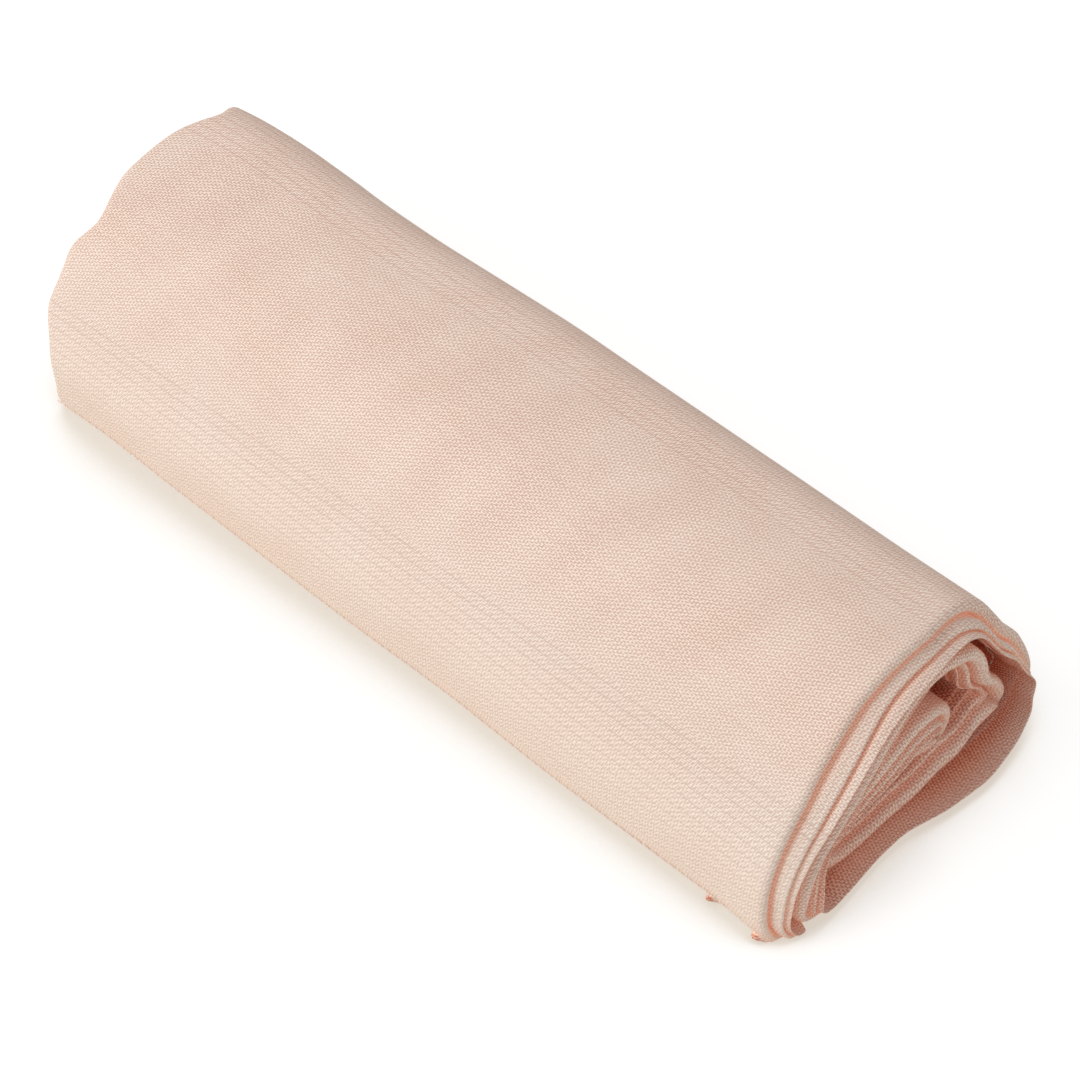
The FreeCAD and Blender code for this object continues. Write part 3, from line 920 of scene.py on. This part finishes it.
# %% Where the flap begins
hinge = next(j for j in frame["joints"] if j["name"] == "flap_hinge")
HINGE_AT = Vector(hinge["pos_m"])
print("hinge at", [round(v / MM, 1) for v in HINGE_AT], "mm")
slope_y, slope_z, slope_angle = section_at(GRID * MM)
hinge_offsets = np.hypot(slope_y - HINGE_AT.y, slope_z - HINGE_AT.z)
HINGE_S = float(GRID[hinge_offsets[:100].argmin()]) * MM
print("hinge lies %.0f mm from the free edge" % (HINGE_S / MM))

# %% Sew the hems
TAILS = {"left": 7.5 * MM, "right": 7.0 * MM}
SEWN_FROM, SEWN_TO = 12.0 * MM, 630.0 * MM
HINGE_GAP = 6.0 * MM
INNER_FACE = STACK - 0.5 * MM
stitch_rows = {}
for tail, tail_depth in TAILS.items():
    for part, first, last in (("_on_flap", SEWN_FROM, HINGE_S),
                              ("", HINGE_S + HINGE_GAP, SEWN_TO)):
        s_row = spaced(first, last)
        x_row = lip(tail + "_tail", s_row) - HEM
        name = "%s_tail_thread%s" % (tail, part)
        stitch_rows[name] = stitch_row(name + "_stitches", s_row, x_row, tail_depth, -1, False)
rail_low, rail_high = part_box("bottom_rail_thread")
rail_x = spaced(rail_low.x, rail_high.x)
stitch_rows["bottom_rail_thread"] = stitch_row(
    "bottom_rail_stitches", np.full_like(rail_x, rail_low.z - 0.4 * MM), rail_x, 0.0, 1, True)
rail_low, rail_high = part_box("top_rail_thread")
rail_x = spaced(rail_low.x, rail_high.x)
stitch_rows["top_rail_thread"] = stitch_row(
    "top_rail_stitches", np.full_like(rail_x, SECTION_LENGTH - HEM), rail_x, INNER_FACE, -1, True)

# %% [markdown]
# ## Middle markers and care label
#
# A wearer finds the middle of the wrap by a short tape folded over each rail. The tape is a
# thin sheet bent round the layers' edge, so it is a strip of points through the cloth's own
# map, given its thickness. The care label is a bare tape sewn flat inside.

# %% Tapes
TAPE_COLUMNS = 13
MARKER_THICKNESS, LABEL_THICKNESS = 0.3 * MM, 0.25 * MM
MARKER_REACH = 2.0 * MM


def tape(name, s_row, depth_row, x_from, x_to, thickness):
    """A tape across the roll, following a path of (distance along, depth)."""
    x_row = np.linspace(x_from, x_to, TAPE_COLUMNS)
    s, x = np.meshgrid(np.asarray(s_row), x_row)
    depth, _ = np.meshgrid(np.asarray(depth_row), x_row)
    flat = np.stack([x, s + depth], axis=-1)
    quads = grid_faces(1, TAPE_COLUMNS, len(s_row))
    piece = piece_from(name, cloth_points(s, x, depth), quads, flat)
    solid = piece.modifiers.new("thickness", "SOLIDIFY")
    solid.thickness = thickness
    solid.offset = 0.0
    return piece


FOLD = [(math.sin(turn), math.cos(turn)) for turn in np.linspace(0.0, math.pi, 7)]
MARKER_HALF = 0.45 * MM


def marker(name, edge, outward, node, depth):
    """A tape folded over the edge of the cloth at a distance along the section."""
    inside = edge - outward * MARKER_REACH
    s_row = [inside] + [edge + outward * MARKER_HALF * out for out, _ in FOLD] + [inside]
    depth_row = ([depth - MARKER_HALF] + [depth - MARKER_HALF * up for _, up in FOLD]
                 + [depth + MARKER_HALF])
    box_low, box_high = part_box(node)
    return tape(name, s_row, depth_row, box_low.x, box_high.x, MARKER_THICKNESS)


print("a marker is folded over %d points" % len(FOLD))

# %% Middle markers
bottom_marker = marker("bottom_marker_tape", 0.0, -1.0, "bottom_middle_marker", 1.9 * MM)
top_marker = marker("top_marker_tape", SECTION_LENGTH, 1.0, "top_middle_marker", 6.4 * MM)
print("markers %.0f mm wide" % (bottom_marker.dimensions.x / MM))

# %% Care label
LABEL_FROM, LABEL_LENGTH = 617.0 * MM, 12.0 * MM
LABEL_DEPTH, LABEL_RIPPLE = STACK + 0.1 * MM, 0.1 * MM
LABEL_POINTS = 9
LABEL_SEAM, LABEL_THREAD_DEPTH = LABEL_FROM + 1.5 * MM, STACK + 0.25 * MM
ripple = LABEL_RIPPLE * np.cos(np.linspace(0.0, 6.0, LABEL_POINTS))
label_s = np.linspace(LABEL_FROM, LABEL_FROM + LABEL_LENGTH, LABEL_POINTS)
box_low, box_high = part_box("care_label")
label = tape("care_label_tape", label_s, LABEL_DEPTH - ripple, box_low.x, box_high.x,
             LABEL_THICKNESS)
box_low, box_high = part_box("care_label_thread")
label_x = spaced(box_low.x, box_high.x)
stitch_rows["care_label_thread"] = stitch_row(
    "care_label_stitches", np.full_like(label_x, LABEL_SEAM), label_x, LABEL_THREAD_DEPTH,
    -1, True)

# %% Tacks of the markers
# each marker is tacked at its two sides, close to the rail
TACK_INSET, TACK_IN = 0.4 * MM, 1.2 * MM
for node, s_place, depth in (("bottom_marker_thread", TACK_IN, 1.4 * MM),
                             ("top_marker_thread", SECTION_LENGTH - TACK_IN, 6.9 * MM)):
    box_low, box_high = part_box(node)
    x_row = [box_low.x + TACK_INSET, box_high.x - TACK_INSET]
    stitch_rows[node] = stitch_row(node + "_stitches", [s_place] * 2, x_row, depth,
                                   1 if depth < STACK / 2 else -1, True)

# %% [markdown]
# ## Finishes of thread and tape
#
# Sewing thread is two plies twisted together, which shows as a slanted wave over each stitch.
# The markers are narrow ribbed tapes in a dark rust colour, and the label is a bare
# pale satin. Modelled yarns would be lost at this size, so waves and a low bump do the work.

# %% Thread
def twisted_thread():
    """Thread of two plies: a wave slanted over each stitch."""
    material, start = new_material("sewing_thread")
    _, (along, across) = cloth_map(start)
    ply = (along * 6500.0 + across * 5200.0).sine() * 0.5 + 0.5
    colour = ply.mix(linear(226, 192, 174), linear(246, 224, 210))
    bump = start.node("ShaderNodeBump", None,
                      {"Strength": 0.6, "Distance": 0.1 * MM, "Height": ply})
    finish(start, start.node("ShaderNodeBsdfPrincipled", None,
                             {"Base Color": colour, "Roughness": 0.75, "Normal": bump,
                              "Specular IOR Level": 0.25}))
    return material


thread_material = twisted_thread()
for row in stitch_rows.values():
    row.data.materials.append(thread_material)
print("%d rows of stitches share one thread" % len(stitch_rows))


# %% Marker tape and label satin
def ribbed_tape(name, dark, light, roughness):
    """A narrow woven tape with fine cross ribs."""
    material, start = new_material(name)
    uv, (along, across) = cloth_map(start)
    rib = (along * 7800.0).sine() * 0.5 + (across * 9000.0).sine() * 0.25 + 0.5
    colour = (rib * 0.7 + noise(start, uv, 300.0, 3.0, 0.6) * 0.3).mix(dark, light)
    bump = start.node("ShaderNodeBump", None,
                      {"Strength": 0.5, "Distance": 0.1 * MM, "Height": rib})
    finish(start, start.node("ShaderNodeBsdfPrincipled", None,
                             {"Base Color": colour, "Roughness": roughness, "Normal": bump,
                              "Specular IOR Level": 0.3}))
    return material


marker_material = ribbed_tape("marker_tape", linear(142, 66, 40), linear(196, 112, 80), 0.8)
bottom_marker.data.materials.append(marker_material)
top_marker.data.materials.append(marker_material)
label.data.materials.append(
    ribbed_tape("label_satin", linear(226, 220, 212), linear(246, 243, 238), 0.45))
print("two tape finishes:", marker_material.name, "and", label.data.materials[0].name)

# %% [markdown]
# ## Floor, light and camera
#
# The bundle lies on a white table under one large soft window. A white diffuse floor would
# turn grey wherever the light falls off, so most of what the camera sees of it is an even
# glow, darkened only where the bundle lies close over it. A long lens from above the open
# end keeps the roll's sides nearly parallel.

# %% Floor
FLOOR_GLOW = 1.14
GLOW_SHARE = 0.76
SHADE_REACH = 44.0 * MM
SHADE_STRENGTH = 3.8


def floor_material():
    """White to the eye, with a warm shade where the bundle lies close over it."""
    material, start = new_material("pale_floor")
    camera_ray = start.node("ShaderNodeLightPath", None, None, output=0)
    plain = start.node("ShaderNodeBsdfDiffuse", None, {"Color": linear(251, 245, 236)})
    open_sky = start.node("ShaderNodeAmbientOcclusion", {"samples": 16},
                          {"Distance": SHADE_REACH}, output=1)
    closed = 1.0 - open_sky
    shade = (closed * closed * SHADE_STRENGTH).between(0.0, 1.0)
    glow = start.node("ShaderNodeEmission", None,
                      {"Color": shade.mix((1.0, 1.0, 1.0, 1.0), (0.67, 0.62, 0.55, 1.0)),
                       "Strength": FLOOR_GLOW})
    shader = start.node("ShaderNodeMixShader", None,
                        {0: camera_ray * GLOW_SHARE, 1: plain, 2: glow})
    finish(start, shader)
    return material


bpy.ops.mesh.primitive_plane_add(size=12.0, location=(0.0, 0.0, -0.0001))
floor = bpy.context.object
floor.name = "floor"
floor.data.materials.append(floor_material())
print("floor is %.0f m wide" % floor.dimensions.x)


# %% Light
def soft_light(name, place, aim, width, power, colour):
    """A round lamp at a place, turned to what it aims at."""
    data = bpy.data.lights.new(name, "AREA")
    data.shape = "DISK"
    data.size = width
    data.energy = power
    data.color = colour
    lamp = bpy.data.objects.new(name, data)
    bpy.context.scene.collection.objects.link(lamp)
    lamp.location = place
    lamp.rotation_euler = (Vector(place) - Vector(aim)).to_track_quat("Z", "Y").to_euler()
    print("%s of %.1f W, %.1f m wide" % (name, power, width))


soft_light("window", place=(-1.1, -1.5, 1.9), aim=(0.0, 0.0, 0.03), width=1.6, power=35.5,
           colour=(1.0, 0.975, 0.965))

# %% World
# the sky lights the bundle softly, and is white to the eye
SKY_LIGHT = 0.53
world = bpy.data.worlds.new("studio")
bpy.context.scene.world = world
world.use_nodes = True
world.node_tree.nodes["Background"].inputs["Color"].default_value = (1.0, 1.0, 1.0, 1.0)
sky_ray = Signal(world.node_tree).node("ShaderNodeLightPath", None, None, output=0)
sky_strength = sky_ray * (1.0 - SKY_LIGHT) + SKY_LIGHT
world.node_tree.links.new(sky_strength.socket,
                          world.node_tree.nodes["Background"].inputs["Strength"])
print("sky light %.2f" % SKY_LIGHT)

# %% Camera
AZIMUTH = math.radians(41.0)
ELEVATION = math.radians(51.0)
AIM_OFFSET = Vector((16.0, -11.0, -2.0)) * MM
DISTANCE = 1.0735
back = Vector((math.sin(AZIMUTH) * math.cos(ELEVATION), -math.cos(AZIMUTH) * math.cos(ELEVATION),
               math.sin(ELEVATION)))
camera_data = bpy.data.cameras.new("camera")
camera_data.lens = 120.0
camera_data.sensor_width = 36.0
camera = bpy.data.objects.new("camera", camera_data)
bpy.context.scene.collection.objects.link(camera)
aim = (low + high) / 2 + AIM_OFFSET
camera.location = aim + back * DISTANCE
camera.rotation_euler = back.to_track_quat("Z", "Y").to_euler()
bpy.context.scene.camera = camera
bpy.context.scene.view_settings.view_transform = "Standard"
print("camera at", [round(v, 3) for v in camera.location], "m")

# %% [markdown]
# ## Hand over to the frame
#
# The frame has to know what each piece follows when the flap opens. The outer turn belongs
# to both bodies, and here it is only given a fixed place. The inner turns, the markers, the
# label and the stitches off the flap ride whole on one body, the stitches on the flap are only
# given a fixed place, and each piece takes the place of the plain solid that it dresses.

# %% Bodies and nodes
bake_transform(outer_turn)
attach(inner_turns, "roll")
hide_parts("cloth_flap")
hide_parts("cloth_roll")
for node, row in stitch_rows.items():
    if node.endswith("_on_flap"):
        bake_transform(row)
    else:
        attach(row, "flap" if node.startswith("bottom") else "roll")
    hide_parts(node)
for piece, node, body, slot in ((bottom_marker, "bottom_middle_marker", "flap", "marker"),
                                (top_marker, "top_middle_marker", "roll", "marker"),
                                (label, "care_label", "roll", "label")):
    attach(piece, body)
    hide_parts(node)

# %% Flat sizes of the sheet
CLOTH_WIDTH = 0.58
outer_width = CLOTH_WIDTH * SEAM / SECTION_LENGTH
CLOTH_WIDTH - outer_width
print("%.2f m of the cloth's %.2f m width lies in the outer turn" % (outer_width, CLOTH_WIDTH))
